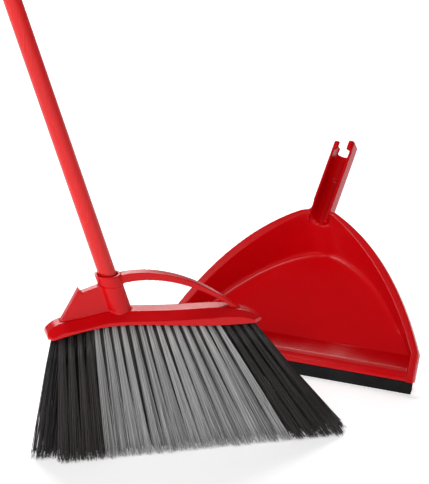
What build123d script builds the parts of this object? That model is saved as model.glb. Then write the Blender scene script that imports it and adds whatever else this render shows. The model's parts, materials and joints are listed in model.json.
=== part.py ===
"""Angle broom and dustpan: the broom stands upright, the dustpan stands on its lip behind it."""
from build123d import *
from math import cos, hypot, radians, sin
import os

os.makedirs("parts", exist_ok=True)

# ---------------------------------------------------------------- driving dimensions (mm, degrees)
# Where the two pieces stand: the middle of the broom block over the floor, and the middle of the
# dustpan's lip on the floor. Together they put the origin under the middle of the whole set.
broom_x, broom_y = 35.3, -144.0
pan_from_broom_x, pan_from_broom_y = 192.3, 161.3
pan_yaw = -38.2                 # the lip's direction, seen from above
pan_tilt = 40.0                 # the tray floor leans back by this much from level

# broom block
block_width = 42.0
block_plan = ((-119, 12), (-114, 21), (60, 21), (109, 16), (119, 7))     # half of its outline from above
block_flat, block_fall = 18.0, 0.6      # level width along the crown, then the fall to each side
block_under = ((-120, 141), (-105, 145), (-80, 150.3), (-50, 153.5), (-10, 151.5), (45, 145.5), (80, 142.5),
               (120, 140.5))
block_over = ((-120, 146), (-109, 155.3), (-83, 160), (-52, 165), (-20, 164.5), (30, 161.5), (85, 158),
              (106, 151.5), (120, 142.5))

# fin, arch and socket above the block
fin_thickness, arch_thickness = 10.0, 12.0
stick_lean = 17.0               # the handle leans to -X
socket_x, socket_z = -33.3, 150.0
socket_radius, collar_radius = 12.4, 13.6
collar_bottom_z, collar_top_z = 195.0, 207.0
bore_radius, bore_mouth_radius, bore_mouth_depth = 9.6, 10.8, 9.0
bore_floor = 14.0               # along the handle axis, from the socket point

# handle
tube_radius, tube_wall, tube_length = 9.5, 0.4, 1170.0
tip_length, tip_core_radius, tip_thread_radius, thread_pitch = 26.0, 8.3, 9.35, 5.08
tip_gap = 0.3
plug_length = 18.0
cap_length, hang_hole_radius, hang_hole_height = 34.0, 4.0, 19.0

# bristle tufts
tufts_in_row = 23
dark_at_each_end = 4
row_root_y = (-11.5, -4.2, 4.2, 11.5)
row_tip_y = (-22.5, -7.5, 7.5, 22.5)
outer_row_roots, inner_row_roots = (-104.0, 106.0), (-108.8, 101.2)
outer_row_fan = (-4.0, 80.0, 27.0)      # how far a tip stands from its root: a + b*u + c*u*u
inner_row_fan = (-29.2, 120.0, 31.0)
tuft_root_radius, tuft_tip_radius, hole_radius = 2.5, 4.0, 2.6
hole_depth, staple_height = 5.6, 1.0
staple_thickness, staple_width = 0.4, 3.8

# dustpan: tray, rim and handle, in the tray's own frame (x along the lip, y up the floor, z out)
wall = 2.2
rim_height_at_lip, rim_slope = 8.0, 17.5
rim_side = ((159, 46), (128, 100), (76, 160))        # outer edge, on the sloping rim plane
rim_back = (18, 198)
rim_front = (160, 10)
rim_width, skirt_depth = 9.0, 9.0
crease_side = ((144, 46), (107, 97), (64, 139))      # where the tray floor meets its walls
crease_front, crease_back = (147, 10), (13, 165)
ridge = ((12.9, 7.2), (17.5, 11.2), (22, 12.4), (28, 10.8), (50, 0.3))
ridge_under = ((50, -2.2), (27, 7.9), (21.5, 9.4), (14.7, 4.6))
lip_profile = ((0, 0), (12.9, 7.2), (14.7, 4.6), (7, 0))
lip_length = 316.0
ridge_length = 300.0
front_cut = ((-10, -10), (25, -10), (14.7, 4.6), (12.9, 7.2), (4, 20), (-10, 20))
trough_radius, trough_wall = 9.8, 3.2
trough_top, trough_axis, trough_drop = 68.0, 59.5, 4.0
trough_start, trough_root, step_y, trough_end = 160.0, 174.0, 243.0, 277.0
clip_end, left_clip_end = 289.0, 286.0
clip_low, clip_high = -35.0, 58.0       # each clip arm's grip, an arc about the trough's axis
clip_outside = ((6.2, 11.8), (11, 11.8), (13, 8.5), (13, -7))    # its outside, from that axis

# ---------------------------------------------------------------- frames
broom_plane = Plane(origin=(broom_x, broom_y, 0), x_dir=(1, 0, 0), z_dir=(0, -1, 0))
lean = radians(stick_lean)
stick_dir = Vector(-sin(lean), 0, cos(lean))
socket_point = Vector(broom_x + socket_x, broom_y, socket_z)


def stick_plane(distance):
    """The plane across the handle, this far up its axis from the socket point."""
    return Plane(origin=socket_point + stick_dir * distance, x_dir=(cos(lean), 0, sin(lean)),
                 z_dir=stick_dir)


yaw, tilt = radians(pan_yaw), radians(pan_tilt)
pan_origin = (broom_x + pan_from_broom_x, broom_y + pan_from_broom_y, 0)
lip_dir = Vector(cos(yaw), sin(yaw), 0)
level_back = Vector(-sin(yaw), cos(yaw), 0)
pan_normal = level_back * -sin(tilt) + Vector(0, 0, cos(tilt))
pan_plane = Plane(origin=pan_origin, x_dir=lip_dir, z_dir=pan_normal)
rim_rise = radians(rim_slope)
rim_plane = Plane(origin=Vector(*pan_origin) + pan_normal * rim_height_at_lip, x_dir=lip_dir,
                  z_dir=pan_normal * cos(rim_rise) - pan_plane.y_dir * sin(rim_rise))


def pan_section(distance):
    """The plane across the tray at this distance from the lip: x along the lip, y out of the tray."""
    origin = pan_plane.from_local_coords(Vector(0, distance, 0))
    return Plane(origin=origin, x_dir=lip_dir, z_dir=pan_plane.y_dir * -1)


def level_at(curve, x):
    """Height of a polyline of (x, z) points at x."""
    for (x0, z0), (x1, z1) in zip(curve, curve[1:]):
        if x0 <= x <= x1:
            return z0 + (z1 - z0) * (x - x0) / (x1 - x0)
    return curve[-1][1]


# ---------------------------------------------------------------- where each tuft starts and ends
def tuft_axes(row):
    """(hole end, direction, reach) of each tuft in a row, from the block down to the floor."""
    inner = row in (1, 2)
    first, last = inner_row_roots if inner else outer_row_roots
    a, b, c = inner_row_fan if inner else outer_row_fan
    axes = []
    for i in range(tufts_in_row):
        u = i / (tufts_in_row - 1)
        x = first + (last - first) * u
        root = Vector(broom_x + x, broom_y + row_root_y[row], level_at(block_under, x))
        tip = Vector(root.X + a + b * u + c * u * u, broom_y + row_tip_y[row], 0)
        direction = (tip - root).normalized()
        axes.append((root - direction * hole_depth, direction, (tip - root).length))
    return axes


# ---------------------------------------------------------------- broom head, one moulding
with BuildPart() as broom_head:
    # a long crown, level across its middle and falling to both sides, over an arched underside
    with BuildSketch(broom_plane, mode=Mode.PRIVATE) as crown:
        with BuildLine():
            over = Spline(*block_over)
            Polyline(over @ 0, (-120, 100), (120, 100), over @ 1)
        make_face()
    extrude(crown.sketch, amount=block_flat / 2, both=True)
    for side in (-1, 1):
        edge_face = crown.sketch.moved(Location((0, side * (block_flat / 2 - 0.5), 0)))
        extrude(edge_face, amount=40, dir=(0, side, -block_fall))
    with BuildSketch(broom_plane):
        with BuildLine():
            under = Spline(*block_under)
            Polyline(under @ 0, (-120, 200), (120, 200), under @ 1)
        make_face()
    extrude(amount=block_width / 2, both=True, mode=Mode.INTERSECT)
    with BuildSketch(Plane(origin=(broom_x, broom_y, 0))):
        with BuildLine():
            Polyline(*block_plan, *[(x, -y) for x, y in reversed(block_plan)], close=True)
        make_face()
    extrude(amount=2 * collar_top_z, mode=Mode.INTERSECT)

    # fin on the left of the socket
    with BuildSketch(broom_plane):
        with BuildLine():
            slope = Spline((-112, 144), (-102, 160), (-83, 193.5))
            Polyline(slope @ 1, (-79.5, 189), (-60, 194.8), (-45, 155), (-100, 140), slope @ 0)
        make_face()
    extrude(amount=fin_thickness / 2, both=True)

    # arch from the collar down to the right tip of the block
    with BuildSketch(broom_plane):
        with BuildLine():
            crown = Spline((-42, 205), (-7, 206.2), (48, 188.6), (85, 164.3), (117, 138))
            inside = Spline((-36, 196), (-7, 197.3), (44, 183.5), (87, 157.3))
            Line(crown @ 0, inside @ 0)
            Polyline(inside @ 1, (87, 150), (114, 139), crown @ 1)
        make_face()
    extrude(amount=arch_thickness / 2, both=True)

    # socket, collar and the bore that takes the handle
    with BuildSketch(stick_plane(2)):
        Circle(socket_radius)
    extrude(amount=50)
    collar_slab = Plane(origin=(broom_x, broom_y, collar_bottom_z))
    with BuildSketch(stick_plane(30), mode=Mode.PRIVATE) as collar_circle:
        Circle(collar_radius)
    with BuildSketch(collar_slab, mode=Mode.PRIVATE) as slab_outline:
        with Locations((socket_x, 0)):
            Rectangle(80, 60)
    collar_rod = extrude(collar_circle.sketch, amount=60, mode=Mode.PRIVATE)
    slab = extrude(slab_outline.sketch, amount=collar_top_z - collar_bottom_z, mode=Mode.PRIVATE)
    add(collar_rod & slab)
    with BuildSketch(stick_plane(bore_floor)):
        Circle(bore_radius)
    extrude(amount=70, mode=Mode.SUBTRACT)
    mouth = (collar_top_z - socket_z) / cos(lean) - bore_mouth_depth
    with BuildSketch(stick_plane(mouth)):
        Circle(bore_mouth_radius)
    extrude(amount=20, mode=Mode.SUBTRACT)

    # one blind hole for each tuft
    holes = [Plane(origin=end, z_dir=direction) for row in range(4)
             for end, direction, reach in tuft_axes(row)]
    with Locations(*holes):
        Cylinder(hole_radius, hole_depth + 6, align=(Align.CENTER, Align.CENTER, Align.MIN),
                 mode=Mode.SUBTRACT)
broom_head.part.label = "broom_head"
export_step(broom_head.part, "parts/broom_head.step")

# ---------------------------------------------------------------- tufts and the staples that hold them
upright = (Align.CENTER, Align.CENTER, Align.MIN)


def make_tufts(name, row, first, last):
    """A run of tufts in one row: each a straight shank in its hole, then a cone down to the floor."""
    with BuildPart() as tufts:
        for end, direction, reach in tuft_axes(row)[first:last]:
            with Locations(Plane(origin=end + direction * staple_height, z_dir=direction)):
                Cylinder(tuft_root_radius, hole_depth - staple_height, align=upright)
            with Locations(Plane(origin=end + direction * hole_depth, z_dir=direction)):
                Cone(tuft_root_radius, tuft_tip_radius, reach + 12, align=upright)
        split(bisect_by=Plane.XY, keep=Keep.TOP)
    tufts.part.label = name
    export_step(tufts.part, f"parts/{name}.step")


for row, row_name in enumerate(("front", "front_inner", "back_inner", "back")):
    grey_end = tufts_in_row - dark_at_each_end
    make_tufts(f"black_tufts_left_{row_name}", row, 0, dark_at_each_end)
    make_tufts(f"grey_tufts_{row_name}", row, dark_at_each_end, grey_end)
    make_tufts(f"black_tufts_right_{row_name}", row, grey_end, tufts_in_row)

    with BuildPart() as staples:
        with Locations(*[Plane(origin=end, x_dir=(0, 1, 0), z_dir=direction)
                         for end, direction, reach in tuft_axes(row)]):
            Box(staple_width, staple_thickness, staple_height, align=upright)
    staples.part.label = f"tuft_staples_{row_name}"
    export_step(staples.part, f"parts/tuft_staples_{row_name}.step")

# ---------------------------------------------------------------- handle: screw tip, tube and hang cap
tip_start = bore_floor + tip_gap
tube_start = tip_start + tip_length
tube_bore = tube_radius - tube_wall

with BuildPart() as screw_tip:
    with BuildSketch(stick_plane(tip_start)):
        Circle(tip_core_radius)
    extrude(amount=tip_length)
    for turn in range(4):
        with BuildSketch(stick_plane(tip_start + 3 + turn * thread_pitch)):
            Circle(tip_thread_radius)
        extrude(amount=thread_pitch / 2)
    with BuildSketch(stick_plane(tube_start)):
        Circle(tube_bore)
    extrude(amount=plug_length)
    with BuildSketch(stick_plane(tube_start)):
        Circle(tube_radius - 0.1)
    extrude(amount=-2)
    chamfer(screw_tip.faces().sort_by(Axis(socket_point, stick_dir))[0].edges(), 1.5)
screw_tip.part.label = "screw_tip"
export_step(screw_tip.part, "parts/screw_tip.step")

with BuildPart() as handle_tube:
    with BuildSketch(stick_plane(tube_start)):
        Circle(tube_radius)
        Circle(tube_bore, mode=Mode.SUBTRACT)
    extrude(amount=tube_length)
handle_tube.part.label = "handle_tube"
export_step(handle_tube.part, "parts/handle_tube.step")

cap_start = tube_start + tube_length
with BuildPart() as hang_cap:
    with BuildSketch(stick_plane(cap_start)):
        Circle(tube_radius)
    extrude(amount=cap_length)
    fillet(hang_cap.faces().sort_by(Axis(socket_point, stick_dir))[-1].edges(), 6)
    with BuildSketch(stick_plane(cap_start - plug_length)):
        Circle(tube_bore)
    extrude(amount=plug_length)
    hang_point = socket_point + stick_dir * (cap_start + hang_hole_height)
    with Locations(Plane(origin=hang_point, z_dir=(0, 1, 0))):
        Cylinder(hang_hole_radius, 40, mode=Mode.SUBTRACT)
hang_cap.part.label = "hang_cap"
export_step(hang_cap.part, "parts/hang_cap.step")


# ---------------------------------------------------------------- dustpan, one moulding
def grown(point, amount):
    """A point of a tray outline moved outwards by this much."""
    x, y = point
    away = hypot(x, y - 40)
    return (x + amount * x / away, y + amount * (y - 40) / away)


def tray_face(front, side, back, amount=0.0, mode=Mode.ADD):
    """A closed face: straight across the front, curved up both sides, straight across the back."""
    right = [grown(p, amount) for p in side] + [(back[0] + amount * 0.3, back[1] + amount)]
    corner = (front[0] + amount, front[1])
    with BuildLine() as outline:
        right_curve = Spline(*right)
        left_curve = Spline(*[(-x, y) for x, y in right])
        Line(right_curve @ 1, left_curve @ 1)
        Line(corner, right_curve @ 0)
        Line((-corner[0], corner[1]), left_curve @ 0)
        Line(corner, (-corner[0], corner[1]))
    make_face(outline.edges(), mode=mode)


rim_inner_side = tuple(grown(p, -rim_width) for p in rim_side)
rim_inner_front = (rim_front[0] - rim_width, rim_front[1])
rim_inner_back = (15.5, rim_back[1] - 4)


def tray_solid(floor_z, amount):
    """The tray's outer or inner surface as a solid, from the floor up to the rim plane."""
    with BuildPart() as tray:
        with BuildSketch(pan_plane.offset(floor_z)):
            tray_face(crease_front, crease_side, crease_back, amount)
        with BuildSketch(rim_plane):
            tray_face(rim_inner_front, rim_inner_side, rim_inner_back, amount)
        loft(ruled=True)
    return tray.part


def trough_face(radius, axis_z, top):
    """A U: half round below its axis, straight walls up to its top."""
    with BuildLine() as outline:
        floor = ThreePointArc((-radius, axis_z), (0, axis_z - radius), (radius, axis_z))
        Polyline(floor @ 1, (radius, top), (-radius, top), floor @ 0)
    make_face(outline.edges())


def clip_arm(end):
    """The right clip arm up to this distance from the lip: flat outside, hooked over at the top."""
    with BuildSketch(pan_section(end), mode=Mode.PRIVATE) as section:
        with BuildLine():
            grip = [(trough_radius * cos(radians(angle)), trough_axis + trough_radius * sin(radians(angle)))
                    for angle in (clip_low, (clip_low + clip_high) / 2, clip_high)]
            inside = ThreePointArc(*grip)
            outside = [(x, trough_axis + z) for x, z in clip_outside]
            Polyline(inside @ 1, *outside, inside @ 0)
        make_face()
    return extrude(section.sketch, amount=end - trough_end, mode=Mode.PRIVATE)


with BuildPart() as dustpan_body:
    add(tray_solid(-wall, wall))
    with BuildSketch(rim_plane):
        tray_face(rim_front, rim_side, rim_back)
    extrude(amount=-wall)
    with BuildSketch(rim_plane):
        tray_face(rim_front, rim_side, rim_back)
        tray_face(rim_front, rim_side, rim_back, -wall, Mode.SUBTRACT)
    extrude(amount=-skirt_depth)
    with BuildSketch(pan_section(trough_end)):
        trough_face(trough_radius + trough_wall, trough_axis - trough_drop, trough_top)
    extrude(amount=trough_end - trough_root)
    add(tray_solid(0, 0), mode=Mode.SUBTRACT)
    with BuildSketch(pan_section(step_y)):
        trough_face(trough_radius, trough_axis - trough_drop, trough_top + 5)
    extrude(amount=step_y - trough_start, mode=Mode.SUBTRACT)
    with BuildSketch(pan_section(trough_end)):
        trough_face(trough_radius, trough_axis, trough_top + 5)
    extrude(amount=trough_end - step_y, mode=Mode.SUBTRACT)

    # the front edge is cut back to the lip's own slope, and a ridge stands behind it
    with BuildSketch(Plane(origin=pan_origin, x_dir=pan_plane.y_dir, z_dir=lip_dir)):
        with BuildLine():
            Polyline(*front_cut, close=True)
        make_face()
    extrude(amount=200, both=True, mode=Mode.SUBTRACT)
    with BuildSketch(Plane(origin=pan_origin, x_dir=pan_plane.y_dir, z_dir=lip_dir)):
        with BuildLine():
            Polyline(*ridge, *ridge_under, close=True)
        make_face()
    extrude(amount=ridge_length / 2, both=True)

    # two arms that snap round a broom handle, the left one cut a little shorter
    add(clip_arm(clip_end))
    add(mirror(clip_arm(left_clip_end), about=Plane(origin=pan_origin, z_dir=lip_dir), mode=Mode.PRIVATE))
dustpan_body.part.label = "dustpan_body"
export_step(dustpan_body.part, "parts/dustpan_body.step")

with BuildPart() as rubber_lip:
    with BuildSketch(Plane(origin=pan_origin, x_dir=pan_plane.y_dir, z_dir=lip_dir)):
        with BuildLine():
            Polyline(*lip_profile, close=True)
        make_face()
    extrude(amount=lip_length / 2, both=True)
rubber_lip.part.label = "rubber_lip"
export_step(rubber_lip.part, "parts/rubber_lip.step")
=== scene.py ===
"""Looks of the angle broom and its dustpan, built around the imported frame. Metres throughout."""
import json
import math
import random

import bmesh
import bpy
import numpy as np
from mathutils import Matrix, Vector
from mathutils.kdtree import KDTree


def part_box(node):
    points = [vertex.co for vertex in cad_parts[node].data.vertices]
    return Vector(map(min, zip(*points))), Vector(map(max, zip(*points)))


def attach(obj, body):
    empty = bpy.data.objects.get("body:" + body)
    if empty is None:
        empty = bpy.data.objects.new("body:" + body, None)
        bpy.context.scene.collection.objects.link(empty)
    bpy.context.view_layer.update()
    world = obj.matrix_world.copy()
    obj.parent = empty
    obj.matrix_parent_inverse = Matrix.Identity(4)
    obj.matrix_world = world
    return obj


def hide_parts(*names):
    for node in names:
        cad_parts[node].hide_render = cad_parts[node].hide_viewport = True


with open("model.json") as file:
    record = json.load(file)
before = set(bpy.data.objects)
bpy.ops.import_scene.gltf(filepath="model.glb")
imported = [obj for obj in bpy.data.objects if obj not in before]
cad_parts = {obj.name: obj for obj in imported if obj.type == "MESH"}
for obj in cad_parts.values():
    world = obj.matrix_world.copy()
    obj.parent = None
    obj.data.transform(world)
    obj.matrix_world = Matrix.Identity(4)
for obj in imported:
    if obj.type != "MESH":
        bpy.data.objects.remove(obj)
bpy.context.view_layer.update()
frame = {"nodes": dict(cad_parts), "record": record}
MM = 0.001
UP = Vector((0, 0, 1))

# ---------------------------------------------------------------- places, from the frame
record = frame["record"]
mounts = {mount["name"]: mount for mount in record["mounts"]}

head_low, head_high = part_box("broom_head")
broom_centre = Vector(((head_low.x + head_high.x) / 2, (head_low.y + head_high.y) / 2, 0))

# the dustpan's own frame: x along the lip, y up the tray floor, z out of the tray
pan_y = Vector(mounts["handle_clip"]["axis"])
pan_x = pan_y.cross(UP).normalized()
pan_z = pan_x.cross(pan_y)
clip_along, clip_above = 266 * MM, 59.5 * MM     # the clip mount, up the tray floor and out of it
pan_origin = Vector(mounts["handle_clip"]["pos_m"]) - pan_y * clip_along - pan_z * clip_above


def pan(x, y, z):
    """A point given in millimetres in the dustpan's own frame."""
    return pan_origin + (pan_x * x + pan_y * y + pan_z * z) * MM


# ---------------------------------------------------------------- materials
class Shader:
    """A node material under construction."""

    def __init__(self, name):
        self.material = bpy.data.materials.new(name)
        self.material.use_nodes = True
        self.nodes = self.material.node_tree.nodes
        self.links = self.material.node_tree.links
        self.surface = self.nodes["Principled BSDF"]
        self.place = self.nodes.new("ShaderNodeTexCoord").outputs["Object"]

    def set(self, **sockets):
        for name, value in sockets.items():
            self.surface.inputs[name.replace("_", " ")].default_value = value

    def noise(self, scale, detail=3.0, stretch=(1, 1, 1)):
        mapping = self.nodes.new("ShaderNodeMapping")
        mapping.inputs["Scale"].default_value = stretch
        texture = self.nodes.new("ShaderNodeTexNoise")
        texture.inputs["Scale"].default_value = scale
        texture.inputs["Detail"].default_value = detail
        self.links.new(self.place, mapping.inputs["Vector"])
        self.links.new(mapping.outputs["Vector"], texture.inputs["Vector"])
        return texture.outputs["Fac"]

    def ramp(self, factor, *stops):
        node = self.nodes.new("ShaderNodeValToRGB")
        for position, colour in stops[2:]:
            node.color_ramp.elements.new(position)
        for element, (position, colour) in zip(node.color_ramp.elements, stops):
            element.position = position
            element.color = (*colour, 1)
        self.links.new(factor, node.inputs["Fac"])
        return node.outputs["Color"]

    def spread(self, factor, low, high, start=0.3, end=0.7):
        node = self.nodes.new("ShaderNodeMapRange")
        node.inputs["From Min"].default_value = start
        node.inputs["From Max"].default_value = end
        node.inputs["To Min"].default_value = low
        node.inputs["To Max"].default_value = high
        self.links.new(factor, node.inputs["Value"])
        return node.outputs["Result"]

    def to(self, output, socket):
        self.links.new(output, self.surface.inputs[socket])

    def bump(self, height, distance, strength=1.0, under=None):
        node = self.nodes.new("ShaderNodeBump")
        node.inputs["Distance"].default_value = distance
        node.inputs["Strength"].default_value = strength
        self.links.new(height, node.inputs["Height"])
        if under is not None:
            self.links.new(under, node.inputs["Normal"])
        self.to(node.outputs["Normal"], "Normal")
        return node.outputs["Normal"]


def red_plastic():
    """Glossy moulded plastic: faint flow shading, fine orange peel, light rub marks."""
    shader = Shader("red_plastic")
    shader.to(shader.ramp(shader.noise(9, 4), (0.3, (0.5, 0.0, 0.002)), (0.7, (0.57, 0.0, 0.003))),
              "Base Color")
    shader.to(shader.spread(shader.noise(45, 4), 0.2, 0.27), "Roughness")
    peel = shader.bump(shader.noise(420, 2), 0.00006, 0.5)
    shader.bump(shader.noise(25, 2), 0.00015, 0.2, under=peel)
    shader.set(IOR=1.32)
    return shader.material


def red_coating():
    """Glossy coating on a steel tube, with faint draw lines along it."""
    shader = Shader("red_coated_steel")
    shader.to(shader.ramp(shader.noise(7, 3), (0.3, (0.56, 0.002, 0.003)), (0.7, (0.64, 0.003, 0.004))),
              "Base Color")
    shader.to(shader.spread(shader.noise(30, 5, (6, 6, 0.4)), 0.2, 0.32), "Roughness")
    shader.bump(shader.noise(160, 2, (1, 1, 0.05)), 0.00008, 0.35)
    shader.set(IOR=1.4, Coat_Weight=0.1, Coat_Roughness=0.12)
    return shader.material


def bristle(name, dark, light, roughness):
    """Filaments whose colour goes from dark to light with the tone stored on their vertices; the tone
    holds their own scatter and painted shade towards the roots and in the inner rows.
    """
    shader = Shader(name)
    tone = shader.nodes.new("ShaderNodeAttribute")
    tone.attribute_name = "tone"
    shader.to(shader.ramp(tone.outputs["Fac"], (0.0, dark), (1.0, light)), "Base Color")
    shader.to(shader.spread(shader.noise(90, 2), roughness - 0.06, roughness + 0.06), "Roughness")
    shader.bump(shader.noise(900, 1, (1, 1, 0.1)), 0.00004, 0.4)
    shader.set(IOR=1.5)
    return shader.material


def lip_rubber():
    """Smooth matt black rubber with a fine grain."""
    shader = Shader("lip_rubber")
    shader.to(shader.ramp(shader.noise(30, 4), (0.3, (0.006, 0.006, 0.007)), (0.7, (0.014, 0.014, 0.015))),
              "Base Color")
    shader.to(shader.spread(shader.noise(70, 4), 0.5, 0.65), "Roughness")
    shader.bump(shader.noise(700, 2), 0.00006, 0.6)
    shader.set(IOR=1.3, Specular_IOR_Level=0.2)
    return shader.material


def inner_plastic():
    """Dark moulded plastic of the screw tip."""
    shader = Shader("inner_plastic")
    shader.to(shader.ramp(shader.noise(40, 3), (0.3, (0.02, 0.02, 0.021)), (0.7, (0.04, 0.04, 0.042))),
              "Base Color")
    shader.to(shader.spread(shader.noise(80, 3), 0.38, 0.52), "Roughness")
    shader.bump(shader.noise(500, 2), 0.00005, 0.5)
    return shader.material


def staple_steel():
    """Flat anchor wire with drawing marks."""
    shader = Shader("staple_steel")
    shader.to(shader.ramp(shader.noise(300, 3), (0.3, (0.5, 0.5, 0.52)), (0.7, (0.66, 0.66, 0.68))),
              "Base Color")
    shader.to(shader.spread(shader.noise(500, 3), 0.28, 0.42), "Roughness")
    shader.set(Metallic=1.0)
    return shader.material


materials = {
    "red_plastic": red_plastic(),
    "red_coated_steel": red_coating(),
    "black_bristle": bristle("black_bristle", (0.006, 0.005, 0.006), (0.055, 0.044, 0.044), 0.36),
    "grey_bristle": bristle("grey_bristle", (0.035, 0.03, 0.028), (0.66, 0.655, 0.66), 0.38),
    "lip_rubber": lip_rubber(),
    "inner_plastic": inner_plastic(),
    "staple_steel": staple_steel(),
}


# ---------------------------------------------------------------- mesh helpers
def new_piece(name, mesh, body, slot, *nodes):
    """An object in the scene that rides on a body, stands for CAD nodes and takes a slot's finish."""
    piece = bpy.data.objects.new(name, mesh)
    bpy.context.scene.collection.objects.link(piece)
    mesh.materials.clear()
    mesh.materials.append(materials[slot])
    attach(piece, body)
    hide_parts(*nodes)
    return piece


WELD = 0.002 * MM               # vertices nearer than this are joined


def merged_copy(node):
    """A bmesh of a CAD node with its doubled vertices joined."""
    work = bmesh.new()
    work.from_mesh(frame["nodes"][node].data)
    bmesh.ops.remove_doubles(work, verts=work.verts, dist=WELD)
    return work


def moulded(work, voxel, rounds):
    """One smooth mesh round everything in a bmesh, as a moulding with its edges eased."""
    source = bpy.data.meshes.new("moulded_source")
    bmesh.ops.recalc_face_normals(work, faces=work.faces)
    work.to_mesh(source)
    work.free()
    carrier = bpy.data.objects.new("moulded_carrier", source)
    bpy.context.scene.collection.objects.link(carrier)
    remesh = carrier.modifiers.new("remesh", "REMESH")
    remesh.mode = "VOXEL"
    remesh.voxel_size = voxel
    ease = carrier.modifiers.new("ease", "SMOOTH")
    ease.factor = 0.5
    ease.iterations = rounds
    graph = bpy.context.evaluated_depsgraph_get()
    mesh = bpy.data.meshes.new_from_object(carrier.evaluated_get(graph))
    bpy.data.objects.remove(carrier)
    mesh.shade_smooth()
    return mesh


def thinned(mesh, most):
    """The mesh collapsed to at most this many triangles."""
    mesh.calc_loop_triangles()
    count = len(mesh.loop_triangles)
    if count <= most:
        return mesh
    carrier = bpy.data.objects.new("thinned_carrier", mesh)
    bpy.context.scene.collection.objects.link(carrier)
    collapse = carrier.modifiers.new("collapse", "DECIMATE")
    collapse.ratio = most / count
    graph = bpy.context.evaluated_depsgraph_get()
    result = bpy.data.meshes.new_from_object(carrier.evaluated_get(graph))
    bpy.data.objects.remove(carrier)
    result.shade_smooth()
    return result


EASING_SHARE = 0.6              # how far one round moves a vertex towards its neighbours


def soften(mesh, centres, reach, rounds):
    """Eases the mesh's corners near the centres: full strength there, none beyond the reach."""
    tree = KDTree(len(centres))
    for i, centre in enumerate(centres):
        tree.insert(centre, i)
    tree.balance()
    count = len(mesh.vertices)
    places = np.empty(count * 3)
    mesh.vertices.foreach_get("co", places)
    places = places.reshape(-1, 3)
    far = np.array([tree.find(place)[2] for place in places])
    strength = np.clip(1 - far / reach, 0, 1)[:, None]
    strength = strength * strength * (3 - 2 * strength)
    ends = np.empty(len(mesh.edges) * 2, dtype=np.int64)
    mesh.edges.foreach_get("vertices", ends)
    ends = ends.reshape(-1, 2)
    near = (strength[ends[:, 0], 0] > 0) | (strength[ends[:, 1], 0] > 0)
    first, second = ends[near].T
    degree = np.maximum(np.bincount(first, minlength=count) + np.bincount(second, minlength=count), 1)
    for step in range(rounds):
        total = np.stack([np.bincount(first, places[second, k], count)
                          + np.bincount(second, places[first, k], count) for k in range(3)], axis=1)
        places += (total / degree[:, None] - places) * strength * EASING_SHARE
    mesh.vertices.foreach_set("co", places.ravel())
    mesh.update()


# ---------------------------------------------------------------- broom head
# size of the remeshing step, rounds of edge easing, most triangles
HEAD_VOXEL, HEAD_EASING, HEAD_TRIANGLES = 0.75 * MM, 3, 180000


def make_head():
    """The red block with its arch and socket."""
    work = merged_copy("broom_head")
    mesh = thinned(moulded(work, HEAD_VOXEL, HEAD_EASING), HEAD_TRIANGLES)
    return new_piece("head_moulding", mesh, "head", "red_plastic", "broom_head")


make_head()


# ---------------------------------------------------------------- dustpan
PAN_VOXEL, PAN_EASING, PAN_TRIANGLES = 0.85 * MM, 3, 190000
LIP_VOXEL, LIP_EASING = 0.8 * MM, 4
FLOOR_START = 52 * MM           # where the tray floor begins behind the ridge
FLOOR_LEVEL = 0.05 * MM         # how near the floor's height a vertex counts as level
CREASE_STEP = 12 * MM           # longest gap between neighbours along the crease
BACK_CORNER, BACK_CORNER_RISE = (13, 165, 0), (2.5, 20, 66)     # mm in the dustpan's own frame
BACK_CORNER_STOPS = (0, 0.2, 0.4, 0.6, 0.8)
NECK_POINTS = ((-15, 190, 66), (-15, 193, 66))          # mm, where the left rim meets the trough
CREASE_REACH, CREASE_ROUNDS = 13 * MM, 160
NECK_REACH, NECK_ROUNDS = 11 * MM, 60


def floor_crease():
    """Points along the line where the tray floor turns up into the walls."""
    work = merged_copy("dustpan_body")
    level = [v.co.copy() for v in work.verts if abs((v.co - pan_origin).dot(pan_z)) < FLOOR_LEVEL]
    work.free()
    points = []
    for start in level:
        for end in level:
            gap = (end - start).length
            if 0 < gap < CREASE_STEP and (start - pan_origin).dot(pan_y) > FLOOR_START:
                points += [start, (start + end) / 2]
    return points


def back_corners():
    """Points up the two corners at the back of the tray."""
    points = []
    for side in (-1, 1):
        for t in BACK_CORNER_STOPS:
            x, y, z = [start + rise * t for start, rise in zip(BACK_CORNER, BACK_CORNER_RISE)]
            points.append(pan(side * x, y, z))
    return points


def make_pan():
    """The red dustpan, its tray corners and its neck eased more than its edges."""
    mesh = moulded(merged_copy("dustpan_body"), PAN_VOXEL, PAN_EASING)
    soften(mesh, floor_crease() + back_corners(), CREASE_REACH, CREASE_ROUNDS)
    soften(mesh, [pan(*point) for point in NECK_POINTS], NECK_REACH, NECK_ROUNDS)
    mesh = thinned(mesh, PAN_TRIANGLES)
    return new_piece("pan_moulding", mesh, "dustpan", "red_plastic", "dustpan_body")


def make_lip():
    """The rubber strip on the tray's front edge."""
    mesh = moulded(merged_copy("rubber_lip"), LIP_VOXEL, LIP_EASING)
    return new_piece("lip_strip", mesh, "dustpan", "lip_rubber", "rubber_lip")


make_pan()
make_lip()


# ---------------------------------------------------------------- bristles
FILAMENTS = 68                  # in each tuft
FILAMENT_RADIUS = 0.3 * MM
ROOT_SPREAD = 2.45 * MM
ACROSS_SPREAD = 6 * MM          # spread across the rows
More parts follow.
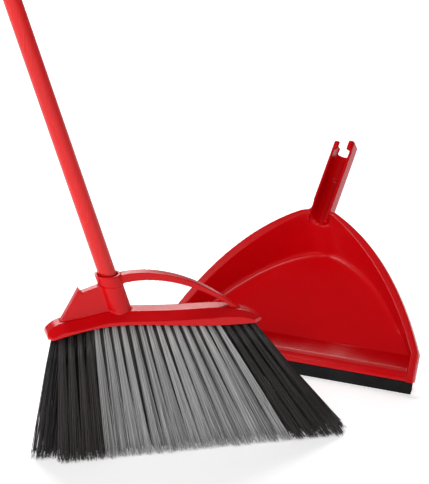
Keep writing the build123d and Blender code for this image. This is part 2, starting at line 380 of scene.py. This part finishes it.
# tone, share of it kept at the root (less is more painted shade towards the head), how late the tuft
# opens, spread along the row, share of the fan kept
OUTER_ROW = (0.66, 0.95, 1.25, 7.5 * MM, 0.98)
# painted shade: the inner rows get a low tone and keep only a tenth of it at the root, standing in for the
# shade between the rows under the head
SHADED_INNER_ROW = (0.3, 0.1, 0.7, 9.5 * MM, 0.94)
STOPS = (0.0, 0.3, 0.6, 0.85, 1.0)       # along a filament, from root to tip
BOW = 0.7 * MM                  # how far the middle of a filament wanders sideways
REACH_SCATTER = 0.12            # of a filament's share of the spread
TONE_SCATTER = 0.18             # between filaments
TUFT_TONE_SPREAD = 0.1          # between tufts, either way
TRIM_SCATTER = 1.3 * MM         # unevenness of the ends
LEAST_CLEARANCE = 0.35 * MM     # of a filament's end above the floor
SPLITS = 2                      # fibres that a filament's end splits into
SPLIT_LENGTH = (3, 11)          # mm, shortest and longest
SPLIT_SCATTER = 0.8 * MM        # sideways
SPLIT_LIFT = (-0.3, 1.2)        # mm, lowest and highest
SPLIT_CLEARANCE = 0.2 * MM      # of a split end above the floor
SPLIT_RADII = [FILAMENT_RADIUS * 0.75, FILAMENT_RADIUS * 0.4]
FIBRE_SIDES = 3
TIP_BAND, ROOT_BAND = 0.3 * MM, 1.2 * MM        # vertices this near a cone's ends belong to them
chance = random.Random(41)


def tuft_ends(node):
    """(root, tip) of each cone in a tuft node."""
    work = merged_copy(node)
    found, seen = [], set()
    for start in work.verts:
        if start.index in seen:
            continue
        island, edge = [], [start]
        seen.add(start.index)
        while edge:
            vertex = edge.pop()
            island.append(vertex.co.copy())
            for link in vertex.link_edges:
                other = link.other_vert(vertex)
                if other.index not in seen:
                    seen.add(other.index)
                    edge.append(other)
        low = [p for p in island if p.z < TIP_BAND]
        tip = sum(low, Vector()) / len(low)
        far = max((p - tip).length for p in island)
        high = [p for p in island if (p - tip).length > far - ROOT_BAND]
        found.append((sum(high, Vector()) / len(high), tip))
    work.free()
    return sorted(found, key=lambda ends: ends[1].x)


def add_fibre(work, tone_layer, points, radii, tones):
    """A three-sided strand through the points, with a radius and a tone at each."""
    along = (points[-1] - points[0]).normalized()
    side = along.cross(Vector((chance.uniform(-1, 1), chance.uniform(-1, 1), 0.1))).normalized()
    across = along.cross(side)
    rings = []
    for point, radius, tone in zip(points, radii, tones):
        ring = []
        for k in range(FIBRE_SIDES):
            angle = 2 * math.pi * k / FIBRE_SIDES
            vertex = work.verts.new(point + (side * math.cos(angle) + across * math.sin(angle)) * radius)
            vertex[tone_layer] = tone
            ring.append(vertex)
        rings.append(ring)
    for ring, following in zip(rings, rings[1:]):
        for k in range(FIBRE_SIDES):
            j = (k + 1) % FIBRE_SIDES
            work.faces.new((ring[k], ring[j], following[j], following[k]))
    work.faces.new(reversed(rings[0]))
    work.faces.new(rings[-1])


def add_tuft(work, tone_layer, root, tip, tuft_tone, shaded_root_share, opening, row_spread):
    """One tuft of filaments that open out towards the floor, each ending in two split fibres."""
    for strand in range(FILAMENTS):
        turn, share = chance.uniform(0, 2 * math.pi), math.sqrt(chance.random())
        ray = Vector((math.cos(turn), math.sin(turn), 0))
        start = root + ray * ROOT_SPREAD * share
        reach_out = share + chance.gauss(0, REACH_SCATTER)
        end = tip + Vector((ray.x * row_spread, ray.y * ACROSS_SPREAD, 0)) * reach_out
        end.z = abs(chance.gauss(0, TRIM_SCATTER)) + LEAST_CLEARANCE
        bow = Vector((chance.gauss(0, 1), chance.gauss(0, 1), 0)) * BOW
        straight_end = tip + (start - root)
        points = []
        for s in STOPS:
            fanned = (end - straight_end) * s ** opening
            points.append(start.lerp(straight_end, s) + fanned + bow * math.sin(math.pi * s))
        last_run = (points[-1] - points[-2]).length
        knee = points[-1].lerp(points[-2], chance.uniform(*SPLIT_LENGTH) * MM / last_run)
        tone = min(1, max(0, tuft_tone + chance.gauss(0, TONE_SCATTER)))
        shank = points[:-1] + [knee]
        # painted shade: each filament darkens towards its root, slightly in the outer rows and strongly in
        # the inner ones
        tones = [tone * (shaded_root_share + (1 - shaded_root_share) * s) for s in STOPS]
        add_fibre(work, tone_layer, shank, [FILAMENT_RADIUS] * len(shank), tones)
        for split in range(SPLITS):
            foot = points[-1] + Vector((chance.gauss(0, 1), chance.gauss(0, 1), 0)) * SPLIT_SCATTER
            foot.z = max(SPLIT_CLEARANCE, foot.z + chance.uniform(*SPLIT_LIFT) * MM)
            add_fibre(work, tone_layer, [knee, foot], SPLIT_RADII, [tone, tone])


def make_bristles():
    """A piece of filaments in place of each node of tufts."""
    for node in sorted(frame["nodes"]):
        if "_tufts_" not in node:
            continue
        slot = "grey_bristle" if node.startswith("grey") else "black_bristle"
        inner = node.endswith("inner")
        tone, shaded_root_share, opening, row_spread, draw_in = SHADED_INNER_ROW if inner else OUTER_ROW
        work = bmesh.new()
        tone_layer = work.verts.layers.float.new("tone")
        for root, tip in tuft_ends(node):
            tip.x = broom_centre.x + (tip.x - broom_centre.x) * draw_in
            tuft_tone = tone + chance.uniform(-TUFT_TONE_SPREAD, TUFT_TONE_SPREAD)
            add_tuft(work, tone_layer, root, tip, tuft_tone, shaded_root_share, opening, row_spread)
        mesh = bpy.data.meshes.new(f"filaments_{node}")
        work.to_mesh(mesh)
        work.free()
        mesh.shade_smooth()
        new_piece(f"filaments_{node}", mesh, "head", slot, node)


make_bristles()

# ---------------------------------------------------------------- carried-over CAD nodes
for node, slot in (("handle_tube", "red_coated_steel"), ("hang_cap", "red_plastic"),
                   ("screw_tip", "inner_plastic")):
    frame["nodes"][node].data.materials.clear()
    frame["nodes"][node].data.materials.append(materials[slot])
for node in frame["nodes"]:
    if node.startswith("tuft_staples"):
        frame["nodes"][node].data.materials.clear()
        frame["nodes"][node].data.materials.append(materials["staple_steel"])


# ---------------------------------------------------------------- floor, light and camera
FLOOR_HALF = 9                  # half the floor's width


def make_floor():
    """A pale floor that glows a little, so that it fades into the white backdrop."""
    half = FLOOR_HALF
    mesh = bpy.data.meshes.new("floor")
    mesh.from_pydata([(-half, -half, 0), (half, -half, 0), (half, half, 0), (-half, half, 0)], [],
                     [(0, 1, 2, 3)])
    floor = bpy.data.objects.new("floor", mesh)
    bpy.context.scene.collection.objects.link(floor)
    shader = Shader("pale_floor")
    shader.to(shader.ramp(shader.noise(2, 2), (0.3, (0.9, 0.9, 0.9)), (0.7, (0.92, 0.92, 0.92))),
              "Base Color")
    shader.set(Roughness=0.7, Emission_Color=(1, 1, 1, 1), Emission_Strength=0.42)
    mesh.materials.append(shader.material)


def softbox(name, place, target, size, power):
    """A rectangular area light that faces the target."""
    light = bpy.data.lights.new(name, "AREA")
    light.shape = "RECTANGLE"
    light.size, light.size_y = size
    light.energy = power
    lamp = bpy.data.objects.new(name, light)
    bpy.context.scene.collection.objects.link(lamp)
    lamp.location = place
    lamp.rotation_euler = (Vector(target) - Vector(place)).to_track_quat("-Z", "Y").to_euler()


def make_light():
    """White surroundings, a large light behind, a strip above, one on the left and a fill in front."""
    world = bpy.data.worlds.new("studio")
    bpy.context.scene.world = world
    world.use_nodes = True
    backdrop = world.node_tree.nodes["Background"]
    backdrop.inputs["Color"].default_value = (1, 1, 1, 1)
    backdrop.inputs["Strength"].default_value = 0.16
    middle = (0.1, 0, 0.2)
    softbox("back_softbox", (0.5, 3.2, 2.2), middle, (3.4, 1.6), 80)
    softbox("top_strip", (0.45, 1.85, 2.7), middle, (1.7, 0.34), 34)
    softbox("left_softbox", (-2.6, -0.8, 1.1), middle, (0.8, 1.8), 32)
    softbox("front_fill", (-0.9, -3.1, 1.9), middle, (2.2, 1.2), 60)


CAMERA_ELEVATION, CAMERA_HEADING = math.radians(20), math.radians(13.34)
CAMERA_DISTANCE, CAMERA_LENS = 2.616, 178.5
LOOK_AT = broom_centre + Vector((0.0722, 0.0193, 0.2259))


def make_camera():
    """A long lens a little above the broom, as in the photo."""
    elevation, heading = CAMERA_ELEVATION, CAMERA_HEADING
    forward = Vector((math.sin(heading) * math.cos(elevation), math.cos(heading) * math.cos(elevation),
                      -math.sin(elevation)))
    camera = bpy.data.objects.new("camera", bpy.data.cameras.new("camera"))
    bpy.context.scene.collection.objects.link(camera)
    camera.location = LOOK_AT - forward * CAMERA_DISTANCE
    camera.rotation_euler = forward.to_track_quat("-Z", "Y").to_euler()
    camera.data.lens = CAMERA_LENS
    bpy.context.scene.camera = camera


make_floor()
make_light()
make_camera()
bpy.context.scene.view_settings.view_transform = "Standard"
